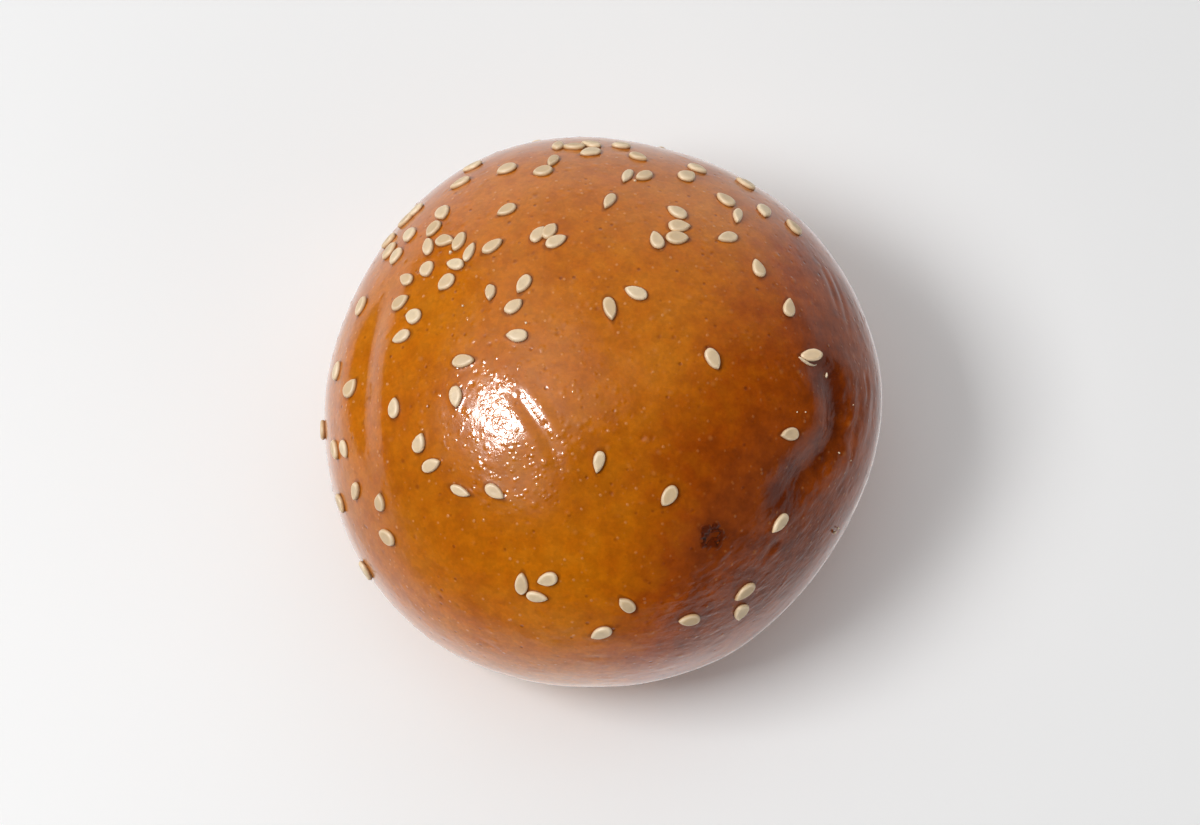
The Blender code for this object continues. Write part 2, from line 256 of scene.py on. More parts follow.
# The burnt blister
CHAR_AT = (713, 537)
CHAR_RADIUS = 2.2 * MM
CHAR_RINGS = 32
CHAR_SIDES = 84
CHAR_WRINKLES = 0.8 * MM
CHAR_GRAIN = 0.33 * MM
CHAR_EDGE = 1.2 * MM
CHAR_UNEVEN = 0.22  # how far its edge waves in and out, as a share of the radius
CHAR_SINKS = (0.72, 0.26)  # from which share of the radius it sinks, and over how much of it
CHAR_HOLLOW = 0.3  # how wide the hollow in its middle is
CHAR_RISES = (0.05, 0.10, 0.05, -0.16, -0.30)  # mm: all of it, its wrinkles, grain, hollow and edge
SCORCH = 0.5  # how brown the crust round it is
SCORCH_ACROSS = 2.3 * MM

# Crumbs of hull and seed that stuck to the crust: the pixel, and the length and width in mm, and the turn
CRUMBS = (
    ((826, 375.5), 0.7, 0.34, 85), ((797, 412), 0.22, 0.18, 20),
    ((805.5, 412), 0.22, 0.18, 150), ((853, 405), 0.22, 0.18, 60),
    ((850.5, 460.5), 0.3, 0.26, 0), ((834, 532), 0.6, 0.42, 130),
    ((837.5, 528), 0.3, 0.28, 10), ((451, 253), 0.52, 0.42, 60),
    ((635, 181), 0.4, 0.3, 20), ((839, 453), 0.3, 0.22, 100),
    ((463, 306), 0.32, 0.26, 40), ((526, 323), 0.34, 0.28, 0),
)
# The torn hull under the leaning seed: its pixels, and how many mm it stands up at each
HULL = ((798.5, 357.5), (801.5, 360.5), (805, 363.3), (809, 365.4), (813, 366.2), (816, 365))
HULL_RISE = (0.25, 0.45, 0.50, 0.45, 0.38, 0.15)
CRUMB_UNEVEN = 0.5
CRUMB_MARKS = {"tone": 0.9, "ring": 0.8, "rise": 0.4}
HULL_THICKNESS = 0.09 * MM
# The flap's section: the height as a share of its rise, how far it leans in, and 1 on its other face
HULL_PROFILE = (
    (-0.3, 0, 0), (0.3, -0.1, 0), (0.75, 0.0, 0), (1, 0.3, 0), (0.75, 0.1, 1), (0.3, 0.05, 1),
)
HULL_STEPS = 4

# How the crust and the seeds are coloured, from the palest to the brownest
CRUST_COLOURS = (
    (0.0, (0.66, 0.28, 0.05)),
    (0.25, (0.55, 0.18, 0.006)),
    (0.5, (0.49, 0.13, 0.0008)),
    (0.75, (0.34, 0.060, 0.0003)),
    (1.0, (0.14, 0.019, 0.0003)),
)
SEED_COLOURS = ((0.0, (0.66, 0.45, 0.23)), (0.5, (0.80, 0.58, 0.34)), (1.0, (0.88, 0.70, 0.46)))

# The softboxes: degrees round from the right and up from level, distance, width, height and radiance
KEY = (190, 53, 0.72, 0.34, 0.235, 14.4)
GLINT = (189.5, 54.7, 0.70, 0.25, 0.18, 38.0)
GLINT_ROLL = 24
FILL = (325, 20, 0.8, 0.8, 0.5, 0.9)
OVER = (50, 65, 0.8, 0.6, 0.6, 0.6)
LIT_POINT = Vector((0, 0, 20 * MM))
# The room: how bright each part is, which way it lies, and from which cosine to which it fades in
WALL = 0.88
WALL_WAY = ((-0.17, 0.98, 0), 0, 0.95)
WALL_END = ((0.71, 0.71, 0), 0, 0.2)
WALL_UP = (0.95, 0.1)
BAND = 0.36
BAND_WAY = ((0.98, -0.17, 0), 0.6, 0.8)
BAND_UP = (0.23, 0.08)
CEILING = 0.62
CEILING_WAY = ((-0.2, 0.06, 0.97), 0.89, 0.99)
GLOWS = ((0.5, ((-0.46, 0.35, 0.82), 0.86, 1)), (0.6, ((-0.45, -0.31, 0.84), 0.93, 1)))  # beside the glint
ROOM = 0.015
ROOM_UP = (-0.12, -0.03)
# Below level, the table as the crust mirrors it, dim on the right and in front
TABLE = 0.78
TABLE_UP = (-0.05, -0.13)
TABLE_NEAR = 0.3
NEAR_UP = (-0.7, -0.95)
RIGHT_DIM = 0.5
RIGHT_WAY = ((0.99, 0.12, 0), 0.6, 1)
FRONT_DIM = 0.95
FRONT_WAY = ((-0.42, -0.91, 0), 0.62, 0.82)
FRONT_UP = (-0.66, -0.28)
FLOOR_GLOW = 0.12
FLOOR_ALBEDO = 0.80
FLOOR_DROP = 0.05 * MM
FLOOR_HALF = 2


def emptied(bm):
    """The points and faces of a bmesh, which is freed."""
    bm.verts.index_update()
    points = np.array([vertex.co for vertex in bm.verts])
    faces = [[corner.index for corner in face.verts] for face in bm.faces]
    bm.free()
    return points, faces


def cube_sphere(squares):
    """Unit directions and quads of a cube with this many squares along each side, blown up into a sphere."""
    bm = bmesh.new()
    bmesh.ops.create_cube(bm, size=2)
    bmesh.ops.subdivide_edges(bm, edges=bm.edges, cuts=squares - 1, use_grid_fill=True)
    points, quads = emptied(bm)
    points = np.tan(points * math.pi / 4)
    return points / np.linalg.norm(points, axis=1, keepdims=True), np.array(quads)


def crowd_at_crown(directions):
    """Turns each direction towards +Z, so that more of the mesh lies on the dome."""
    flat = np.hypot(directions[:, 0], directions[:, 1])
    down = np.arctan2(flat, directions[:, 2])
    crowded = down - CROWDING[0] * np.sin(down) + CROWDING[1] * np.sin(2 * down)
    scale = np.sin(crowded) / np.maximum(flat, 1e-9)
    return np.column_stack((directions[:, 0] * scale, directions[:, 1] * scale, np.cos(crowded)))


def roll_points(directions):
    """The smooth roll's surface in these directions from the middle of its waist."""
    x, y, z = directions.T
    dome = z > 0
    power = np.where(dome, DOME_POWER, UNDER_POWER)
    depth = np.where(dome, HEIGHT - WAIST, UNDER_DEPTH)
    reach = ((np.hypot(x, y) / (WIDTH / 2)) ** power + (np.abs(z) / depth) ** power) ** (-1 / power)
    turn = np.arctan2(y, x)
    lobes = 1 + sum(share * np.cos(waves * (turn - math.radians(crest))) for waves, share, crest in LOBES)
    height = BASE_EDGE * np.logaddexp(0, (z * reach + WAIST) / BASE_EDGE)
    height[height < FLAT_BELOW] = 0
    return np.column_stack((x * reach * lobes, y * reach * lobes, height))


def normals_of(points, quads):
    a, b, c, d = (points[quads[:, corner]] for corner in range(4))
    facing = np.cross(c - a, d - b)
    normals = np.zeros_like(points)
    for corner in range(4):
        np.add.at(normals, quads[:, corner], facing)
    return normals / np.linalg.norm(normals, axis=1, keepdims=True)


def tree_of(points, quads):
    return BVHTree.FromPolygons(points.tolist(), quads.tolist())


def view_axes():
    """Right, up and forward of the viewpoint, and where it is."""
    back = Vector((0, -math.cos(VIEW_ELEVATION), math.sin(VIEW_ELEVATION)))
    right = Vector((1, 0, 0))
    return right, back.cross(right), -back, VIEW_TARGET + back * VIEW_DISTANCE


def seen(surface, x, y):
    """The point and outward normal of the surface at this pixel. One just past the outline is brought in."""
    right, up, forward, eye = view_axes()
    across, rise = x - MIDDLE_PX[0], MIDDLE_PX[1] - y
    for _ in range(100):
        ray = (forward * FOCAL_PX + right * across + up * rise).normalized()
        point, normal, _, _ = surface.ray_cast(eye, ray)
        if point is not None:
            return point, normal
        across, rise = across * STEP_IN, rise * STEP_IN
    raise ValueError(f"pixel {x}, {y} is far outside the roll")


def smooth_path(points, steps=8):
    """A curve through the points, closely stepped."""
    ends = [points[0] * 2 - points[1], *points, points[-1] * 2 - points[-2]]
    path = []
    for a, b, c, d in zip(ends, ends[1:], ends[2:], ends[3:]):
        for step in range(steps):
            t = step / steps
            bend = (2 * a - 5 * b + 4 * c - d) * t**2 + (3 * b - a - 3 * c + d) * t**3
            path.append(b + ((c - a) * t + bend) / 2)
    return [*path, points[-1]]


def path_along(surface, *pixels):
    """A curve on the surface through its points at these pixels, or its one point there."""
    points = [seen(surface, *pixel)[0] for pixel in pixels]
    return np.array(smooth_path(points) if len(points) > 1 else points)


def hollow_along(surface, depth, width, pixels, lip):
    """A crease: its half width, its points, the depth at each, and how much its sides pile up."""
    path = path_along(surface, *pixels)
    fades = [math.sin(math.pi * (place + 1) / (len(path) + 1)) ** 0.5 for place in range(len(path))]
    return width * MM, path, depth * MM * np.array(fades), lip


def hollows_of(surface):
    creases = [hollow_along(surface, *crease, CREASE_LIP) for crease in CREASES]
    dents = [(width * MM, path_along(surface, at), np.array([depth * MM]), 0) for depth, width, at in DENTS]
    return creases + dents


def bell(distance, width):
    return np.exp(-((distance / width) ** 2))


def nearest(points, path, values):
    """How far each point is from the path, and the value at the place on the path that is nearest."""
    distance = np.full(len(points), np.inf)
    value = np.zeros(len(points))
    for middle, at_middle in zip(path, values):
        step = np.linalg.norm(points - middle, axis=1)
        closer = step < distance
        distance[closer] = step[closer]
        value[closer] = at_middle
    return distance, value


def close_to(points, path, across):
    """1 on the path, and less the further from it, with this width."""
    return bell(nearest(points, path, np.zeros(len(path)))[0], across)


def hollowed(points, hollows):
    """How far the crust stands out at each point, with these creases and dents."""
    out = np.zeros(len(points))
    for width, path, depths, lip in hollows:
        distance, depth = nearest(points, path, depths)
        out -= depth * (bell(distance, width) - lip * bell(distance - LIP_AT * width, width))
    return out


def noise_at(points, across):
    return np.array([noise.noise(point) for point in (points / across).tolist()])


def lying(point, normal, tip):
    """The frame of a seed that lies on the crust: X to its tip, Z off the crust."""
    across = normal.cross(tip).normalized()
    made = Matrix((across.cross(normal), across, normal)).transposed().to_4x4()
    made.translation = point + normal * SEED_LIFT
    return made


def leaning(lain):
    """The frame of a seed whose tip is sunk in the crust and whose round end is up."""
    tip = Vector((SEED_LENGTH * LEANING_TIP, 0, 0))
    sunk = tip - Vector((0, 0, SEED_LIFT + LEANING_SINK))
    return lain @ Matrix.Translation(sunk) @ Matrix.Rotation(LEAN, 4, "Y") @ Matrix.Translation(-tip)


def odd_size(marks=""):
    """How much longer and wider than usual a seed with these marks is."""
    length = 1 + ODD_LENGTH * (("+" in marks) - ("-" in marks))
    return length, 1 + ODD_WIDTH * (("w" in marks) - ("n" in marks))


def shown_seeds(surface):
    """The frame of each seed that shows, and how much longer and wider than usual it is."""
    right, up, forward, _ = view_axes()
    for x, y, turn, *marks in SEEDS:
        point, normal = seen(surface, x, y)
        angle = math.radians(turn)
        across, rise = math.cos(angle), math.sin(angle)
        # Along the line of sight, as far as the crust slopes away
        slope = min(forward.dot(normal), STEEPEST)
        deep = -(across * right.dot(normal) + rise * up.dot(normal)) / slope
        lain = lying(point, normal, right * across + up * rise + forward * deep)
        yield leaning(lain) if (x, y) == LEANING_SEED else lain, odd_size(*marks)


def back_seeds(surface):
    for round_from_right, height, turn in BACK_SEEDS:
        angle = math.radians(round_from_right)
        outward = Vector((math.cos(angle), math.sin(angle), 0))
        point, normal, _, _ = surface.ray_cast(Vector((0, 0, height)), outward)
        level = Vector((0, 0, 1)).cross(outward)
        tip = level * math.cos(math.radians(turn)) + Vector((0, 0, 1)) * math.sin(math.radians(turn))
        yield lying(point, normal, tip), (1, 1)


def seed_outline(angles, pointed, bent, waves):
    """A teardrop's unit outline, with its tip at +X. Its edge is uneven by these waves."""
    across = np.sin(angles) * np.sin(np.abs(angles) / 2) ** pointed
    along = np.cos(angles)
    uneven = 1 + sum(size * np.cos(count * angles + start) for count, size, start in waves)
    return along * uneven, (across / across.max() + bent * (along + 1) ** 2 / 4) * uneven


def seed_points(length, width, thickness, ridge, bend, outline):
    """A seed's points, from the top's middle out and back under, and the ring that each is on."""
    angles = np.linspace(-math.pi, math.pi, SEED_SIDES, endpoint=False)
    along, across = seed_outline(angles, *outline)
    rim, rim_at, rim_width = SEED_RIM
    top = 0.5 * (1 - SEED_TOP**SEED_TOP_POWER) ** 0.5
    top += ridge * (rim * bell(SEED_TOP - rim_at, rim_width) - bell(SEED_TOP, SEED_HOLLOW))
    under = -0.5 * (1 - SEED_UNDER**SEED_UNDER_POWER) ** 0.5
    rings = np.concatenate((SEED_TOP, SEED_UNDER))
    sides = (np.outer(rings, along) * length / 2, np.outer(rings, across) * width / 2)
    rings, heights = (np.repeat(values, SEED_SIDES) for values in (rings, np.concatenate((top, under))))
    sides = np.column_stack((sides[0].ravel(), sides[1].ravel(), heights * thickness))
    points = np.concatenate(([[0, 0, thickness * (0.5 - ridge)]], sides, [[0, 0, -thickness / 2]]))
    points[:, 2] += bend * (points[:, 0] / length) ** 2
    return points, np.array([0, *rings, 0])


def fan_faces(rings, sides, start=0):
    """Faces of a round patch: its middle comes first, then ring after ring."""
    faces = []
    for side in range(sides):
        after = (side + 1) % sides
        faces.append((start, start + 1 + side, start + 1 + after))
        for ring in range(rings - 1):
            inner, outer = start + 1 + ring * sides, start + 1 + (ring + 1) * sides
            faces.append((inner + side, outer + side, outer + after, inner + after))
    return faces


def seed_faces():
    rings = len(SEED_TOP) + len(SEED_UNDER)
    inner, last = 1 + (rings - 1) * SEED_SIDES, 1 + rings * SEED_SIDES
    closing = [(inner + side, last, inner + (side + 1) % SEED_SIDES) for side in range(SEED_SIDES)]
    return fan_faces(rings, SEED_SIDES) + closing


def linked(name, data):
    made = bpy.data.objects.new(name, data)
    bpy.context.collection.objects.link(made)
    return made


def smooth_piece(name, points, faces, marks):
    """A piece with these points and faces, and for each mark a number at each point for its material."""
    mesh = bpy.data.meshes.new(name)
    mesh.from_pydata(points.tolist(), [], faces)
    for mark, values in marks.items():
        made = mesh.attributes.new(mark, "FLOAT", "POINT")
        made.data.foreach_set("value", np.asarray(values, np.float32))
    mesh.shade_smooth()
    return linked(name, mesh)


def make_seeds(frames):
    """Every seed in one piece, and the frame, length and width of each."""
    rng = random.Random(RANDOM_SEED)
    looks = random.Random(RANDOM_SEED + 1)
    template = seed_faces()
    points, faces, sizes = [], [], []
    marks = {"tone": [], "along": [], "ring": [], "rise": []}
    for made, (longer, wider) in frames:
        length = SEED_LENGTH * longer * (1 + rng.uniform(-SEED_SPREAD, SEED_SPREAD))
        width = SEED_WIDTH * wider * (1 + rng.uniform(-SEED_SPREAD, SEED_SPREAD))
        sizes.append((made, length, width))
        ridge = looks.choice(SEED_RIDGES)
        bend = looks.uniform(*SEED_BENDS) * MM
        waves = [(count, looks.uniform(0, size), looks.uniform(0, 2 * math.pi)) for count, size in SEED_WAVES]
        outline = (looks.uniform(*SEED_POINTED), looks.uniform(*SEED_BENT), waves)
        thickness = SEED_THICKNESS * looks.uniform(*SEED_THICKNESSES)
        own, ring = seed_points(length, width, thickness, ridge, bend, outline)
        start = len(points) * len(own)
        faces += [tuple(start + corner for corner in face) for face in template]
        turned = np.array(made)
        points.append(own @ turned[:3, :3].T + turned[:3, 3])
        marks["tone"].append(np.full(len(own), looks.uniform(-1, 1)))
        marks["along"].append(own[:, 0] / length)
        marks["ring"].append(ring)
        marks["rise"].append(own[:, 2] / SEED_THICKNESS)
    marks = {mark: np.concatenate(values) for mark, values in marks.items()}
    return smooth_piece("seeds", inside_box(np.concatenate(points)), faces, marks), sizes


def collars(points, sizes):
    """Egg wash dried up against the seeds, and how near each point is to one: near a seed the crust is
    darker, as pooled egg wash and painted contact shade.
    """
    out = np.zeros(len(points))
    near = np.zeros(len(points))
    for made, length, width in sizes:
        inverse = np.array(made.inverted())
        reach = np.linalg.norm(points - np.array(made.translation), axis=1) < length
        local = points[reach] @ inverse[:3, :3].T + inverse[:3, 3]
        x, y = local[:, 0] / (length / 2), local[:, 1] / (width / 2)
        taper = 1 - SEED_TAPER * ((np.clip(x, -1, 1) + 1) / 2) ** 2
        edge = (np.hypot(x, y / taper) - 1) * width / 2
        rise = np.where(edge < 0, 1, bell(edge, COLLAR_WIDTH))
        out[reach] = np.maximum(out[reach], COLLAR_HEIGHT * rise)
        near[reach] = np.maximum(near[reach], bell(np.maximum(edge, 0), SEED_SHADE_REACH))
    return out, near


def scattered(rng, tree, how_many, radii, steepness, near=None):
    """Round marks at random on the crust, or near one place on it, as (point, radius, height)."""
    middle = Vector((0, 0, WAIST))
    made = 0
    while made < how_many:
        turn = rng.uniform(0, 2 * math.pi)
        up = rng.uniform(*MARKS_UP)
        flat = math.sqrt(1 - up * up)
        way = Vector((flat * math.cos(turn), flat * math.sin(turn), up))
        point, _, _, _ = tree.ray_cast(middle, way)
        if point.z < MARKS_FROM:
            continue
        if near and rng.random() > math.exp(-(((point - near[0]).length / near[1]) ** 2)):
            continue
        made += 1
        radius = radii[0] + rng.random() ** 2 * (radii[1] - radii[0])  # most are small
        yield point, radius, radius * rng.uniform(*steepness)


def stamped(count, finder, marks):
    """How far round marks make the crust stand out at each of its points."""
    out = np.zeros(count)
    for middle, radius, height in marks:
        for _, index, distance in finder.find_range(middle, radius):
            out[index] += height * (1 - (distance / radius) ** 2) ** 2
    return out


def strokes(rng, tree, finder, out):
    """Adds the short level marks on the sides to the crust's relief."""
    for _ in range(STROKES):
        turn = rng.gauss(*STROKE_TURN)
        inside = Vector((0, 0, rng.uniform(*STROKE_HEIGHT)))
        point, normal, _, _ = tree.ray_cast(inside, Vector((math.cos(turn), math.sin(turn), 0)))
        level = Vector((0, 0, 1)).cross(normal).normalized()
        level.rotate(Matrix.Rotation(rng.gauss(0, STROKE_TILT), 3, normal))
        across = normal.cross(level)
        long, wide = rng.uniform(*STROKE_LENGTH), rng.uniform(*STROKE_WIDTH)
        deep = rng.choice((-1, -1, 1)) * rng.uniform(*STROKE_DEPTH)
        for place, index, _ in finder.find_range(point, long * STROKE_REACH):
            offset = place - point
            along = bell(offset.dot(level), long * STROKE_FADE)
            out[index] += deep * along * bell(offset.dot(across), wide)


def swelled(points, hollows):
    """How far the crust stands out at each point of the smooth roll, without its fine relief."""
    return hollowed(points, hollows) + sum(size * noise_at(points, across) for across, size in SWELLS)


def make_crust():
    """The roll's crust, the surface that the seeds lie on, and the seeds' frames."""
    directions, quads = cube_sphere(CRUST_GRID)
    smooth = roll_points(crowd_at_crown(directions))
    smooth_tree = tree_of(smooth, quads)
    out = swelled(smooth, hollows_of(smooth_tree))
    raised = smooth[:, 2] > 0
    points = smooth + normals_of(smooth, quads) * (out * raised)[:, None]
    points[:, 2] = np.maximum(points[:, 2], 0)
    tree = tree_of(points, quads)
    frames = [*shown_seeds(tree), *back_seeds(tree)]
    return points, quads, tree, smooth_tree, frames


def inside_box(points):
    """The points, none of them outside the solid model's box."""
    low, high = (np.array(corner) for corner in cad_box)
    return np.clip(points, low + (BOX_GAP, BOX_GAP, 0), high - BOX_GAP)


def finish_crust(points, quads, tree, smooth_tree, sizes):
    """The crust with its fine relief, in two pieces, and the bubbles in its egg wash."""
    rng = random.Random(RANDOM_SEED + 2)
    normals = normals_of(points, quads)
    out = hollowed(points, [hollow_along(smooth_tree, *wrinkle, WRINKLE_LIP) for wrinkle in WRINKLES])
    for across, size in LUMPS:
        out += size * noise_at(points, across)
    finder = KDTree(len(points))
    for index, point in enumerate(points.tolist()):
        finder.insert(point, index)
    finder.balance()
    blister = stamped(len(points), finder, scattered(rng, tree, *BLISTERS))
    pit = stamped(len(points), finder, scattered(rng, tree, *PITS))
    strokes(rng, tree, finder, out)
    rough = np.zeros(len(points))
    for pixel, across in ROUGH_ZONES:
        rough = np.maximum(rough, close_to(points, path_along(smooth_tree, pixel), across * MM))
    level = points * FOLDS_LEVEL
    folds = sum(size * noise_at(level + shift, across) for shift, (size, across) in enumerate(FOLDS))
    out += rough * (folds - CLEFTS[0] * np.abs(noise_at(level + len(FOLDS), CLEFTS[1])))
    collar, near = collars(points, sizes)
    out += (blister - pit) * (1 - near) + collar
    out -= WAIST_PULL * bell(points[:, 2] - WAIST, WAIST_BAND)
    fade = np.clip((points[:, 2] - BASE_FADE[0]) / BASE_FADE[1], 0, 1)
    points = inside_box(points + normals * (out * fade)[:, None])
    normals = normals_of(points, quads)

    def along(across, *pixels):
        return close_to(points, path_along(smooth_tree, *pixels), across)

    gleam = along(GLEAM_ACROSS, GLEAM) * (1 - GROOVE_THINS * along(GROOVE_ACROSS, *GROOVE))
    scorch = along(SCORCH_ACROSS, CHAR_AT)
    marks = {
        "blister": blister / MARK_DEPTH,
        "pit": pit / MARK_DEPTH,
        # near a seed the crust is darkened: pooled egg wash and painted contact shade
        "near": near,
        "rough": rough,
        "gleam": np.maximum(gleam, along(STREAK_ACROSS, *STREAK)),
        "burnt": SCORCH * scorch,
        # painted shade along the deep crease
        "crease_shade": along(CREASE_SHADE_ACROSS, *VALLEY),
        "dull": np.maximum(along(DULL_ACROSS, *DULL), scorch),
    }
    # In two pieces, because one would be too large: the crown, and the sides with the base
    middles = points[quads, 2].mean(axis=1)
    upper = middles > np.median(middles)
    pieces = [
        crust_piece(name, points, normals, quads[chosen], marks)
        for name, chosen in (("crown", upper), ("sides", ~upper))
    ]
    groove = path_along(smooth_tree, *GROOVE)
    return pieces, bubbles(rng, tree, tree_of(points, quads), finder, normals, groove)


def crust_piece(name, points, normals, quads, marks):
    """Some of the crust's faces in a piece of their own, smooth across its edge too."""
    used, corners = np.unique(quads, return_inverse=True)
    marks = {mark: values[used] for mark, values in marks.items()}
    made = smooth_piece(name, points[used], corners.reshape(quads.shape).tolist(), marks)
    made.data.normals_split_custom_set_from_vertices(normals[used].tolist())
    return made


def disc_points(rings, sides):
    """A flat round patch of unit radius, with its rings at these shares of that."""
    angles = np.linspace(0, 2 * math.pi, sides, endpoint=False)
    spokes = np.column_stack((np.cos(angles), np.sin(angles)))
    return np.concatenate(([[0, 0]], *[ring * spokes for ring in rings]))


def bubbles(rng, tree, done_tree, finder, normals, groove):
    """Low round bubbles in the egg wash, most of them where it is thickest."""
    marks = []
    for how_many, radii, steepness, (pixel, spread) in BUBBLES:
        near = (seen(tree, *pixel)[0], spread)
        for point, radius, height in scattered(rng, tree, how_many, radii, steepness, near):
            if np.min(np.linalg.norm(groove - np.array(point), axis=1)) > GROOVE_CLEAR:
                marks.append((done_tree.find_nearest(point)[0], radius, height))
    for pixel in BRIGHT_BUBBLES:
        radius = rng.uniform(*BRIGHT_RADIUS) * MM
        marks.append((seen(done_tree, *pixel)[0], radius, radius * rng.uniform(*BRIGHT_RISE)))
    disc = disc_points(BUBBLE_RINGS, BUBBLE_SIDES)
    profile = (1 - (disc**2).sum(axis=1)) ** 2
    points, faces = [], []
    for middle, radius, height in marks:
        normal = Vector(normals[finder.find(middle)[1]])
        across = normal.orthogonal().normalized()
        axes = np.array((across, normal.cross(across)))
        faces += fan_faces(len(BUBBLE_RINGS), BUBBLE_SIDES, len(points) * len(disc))
        out = (height * profile - BUBBLE_SINK)[:, None] * np.array(normal)
        points.append(np.array(middle) + radius * disc @ axes + out)
    return smooth_piece("bubbles", np.concatenate(points), faces, {})


def make_char(smooth_tree):
    """The burnt blister: a wrinkled, cracked scab that sinks into the crust at its edge."""
    point, normal = seen(smooth_tree, *CHAR_AT)
    offset = point - Vector((0, 0, WAIST))
    towards = offset.normalized()
    across = towards.orthogonal().normalized()
    axes = np.array((across, towards.cross(across)))
    disc = disc_points(np.linspace(0, 1, CHAR_RINGS + 1)[1:], CHAR_SIDES)
    far = np.linalg.norm(disc, axis=1)
    directions = np.array(towards) + disc @ axes * (CHAR_RADIUS / offset.length)
    smooth = roll_points(directions / np.linalg.norm(directions, axis=1, keepdims=True))
    wrinkles = 1 - 3 * np.abs(noise_at(smooth, CHAR_WRINKLES))
    grain = noise_at(smooth + 0.01, CHAR_GRAIN)
    uneven = far + CHAR_UNEVEN * noise_at(smooth + 0.02, CHAR_EDGE)
    edge = np.clip((uneven - CHAR_SINKS[0]) / CHAR_SINKS[1], 0, 1) ** 2
    forms = (1, wrinkles, grain, bell(far, CHAR_HOLLOW), edge)
    out = sum(rise * form for rise, form in zip(CHAR_RISES, forms))
    points = smooth + np.array(normal) * (swelled(smooth, hollows_of(smooth_tree)) + out * MM)[:, None]
    burnt = np.clip((0.9 - uneven) / 0.35, 0, 1)
    marks = {
        "burnt": 0.4 + 0.6 * np.clip((0.88 - uneven) / 0.15, 0, 1),
        "char": np.clip(0.45 - 0.8 * wrinkles - grain + 0.7 * bell(far, 0.35), 0, 1) * burnt,
        "dull": 0.4 + 0.6 * burnt,
    }
    return smooth_piece("char", points, fan_faces(CHAR_RINGS, CHAR_SIDES), marks)


def make_crumbs(tree):
    """The crumbs and the torn hull, in one piece."""
    right, up, _, _ = view_axes()
    bm = bmesh.new()
    for pixel, length, width, turn in CRUMBS:
        point, normal = seen(tree, *pixel)
        angle = math.radians(turn)
        lain = lying(point, normal, right * math.cos(angle) + up * math.sin(angle))
        lain.translation = point + normal * width * MM / 4
        made = bmesh.ops.create_icosphere(bm, subdivisions=2, radius=0.5)["verts"]
        for vertex in made:
            x, y, z = vertex.co * (1 + CRUMB_UNEVEN * noise.noise(vertex.co * 2 + point / MM)) * MM
            vertex.co = lain @ Vector((x * length, y * width, z * width))
    hull_strip(bm, tree)
    points, faces = emptied(bm)
    marks = {mark: np.full(len(points), value) for mark, value in CRUMB_MARKS.items()}
    return smooth_piece("crumbs", points, faces, marks)


def hull_strip(bm, tree):
    """A thin flap that stands on the crust and curls over towards the seed."""
    rows = []
    feet = [seen(tree, *pixel) for pixel in HULL]
    path = smooth_path([foot for foot, _ in feet], HULL_STEPS)
    for place, foot in enumerate(path):
        before, after = path[max(place - 1, 0)], path[min(place + 1, len(path) - 1)]
        normal = feet[min(place // HULL_STEPS, len(feet) - 1)][1]
        inward = normal.cross(after - before).normalized()
        rise = np.interp(place / HULL_STEPS, range(len(HULL)), HULL_RISE) * MM
        row = []
        for share, lean, thick in HULL_PROFILE:
            offset = inward * (lean * rise + thick * HULL_THICKNESS)
            row.append(bm.verts.new(foot + normal * rise * share + offset))
        rows.append(row)
    for one, other in zip(rows, rows[1:]):
        for side in range(len(one)):
            after = (side + 1) % len(one)
            bm.faces.new((one[side], one[after], other[after], other[side]))
    bm.faces.new(rows[0][::-1])
    bm.faces.new(rows[-1])


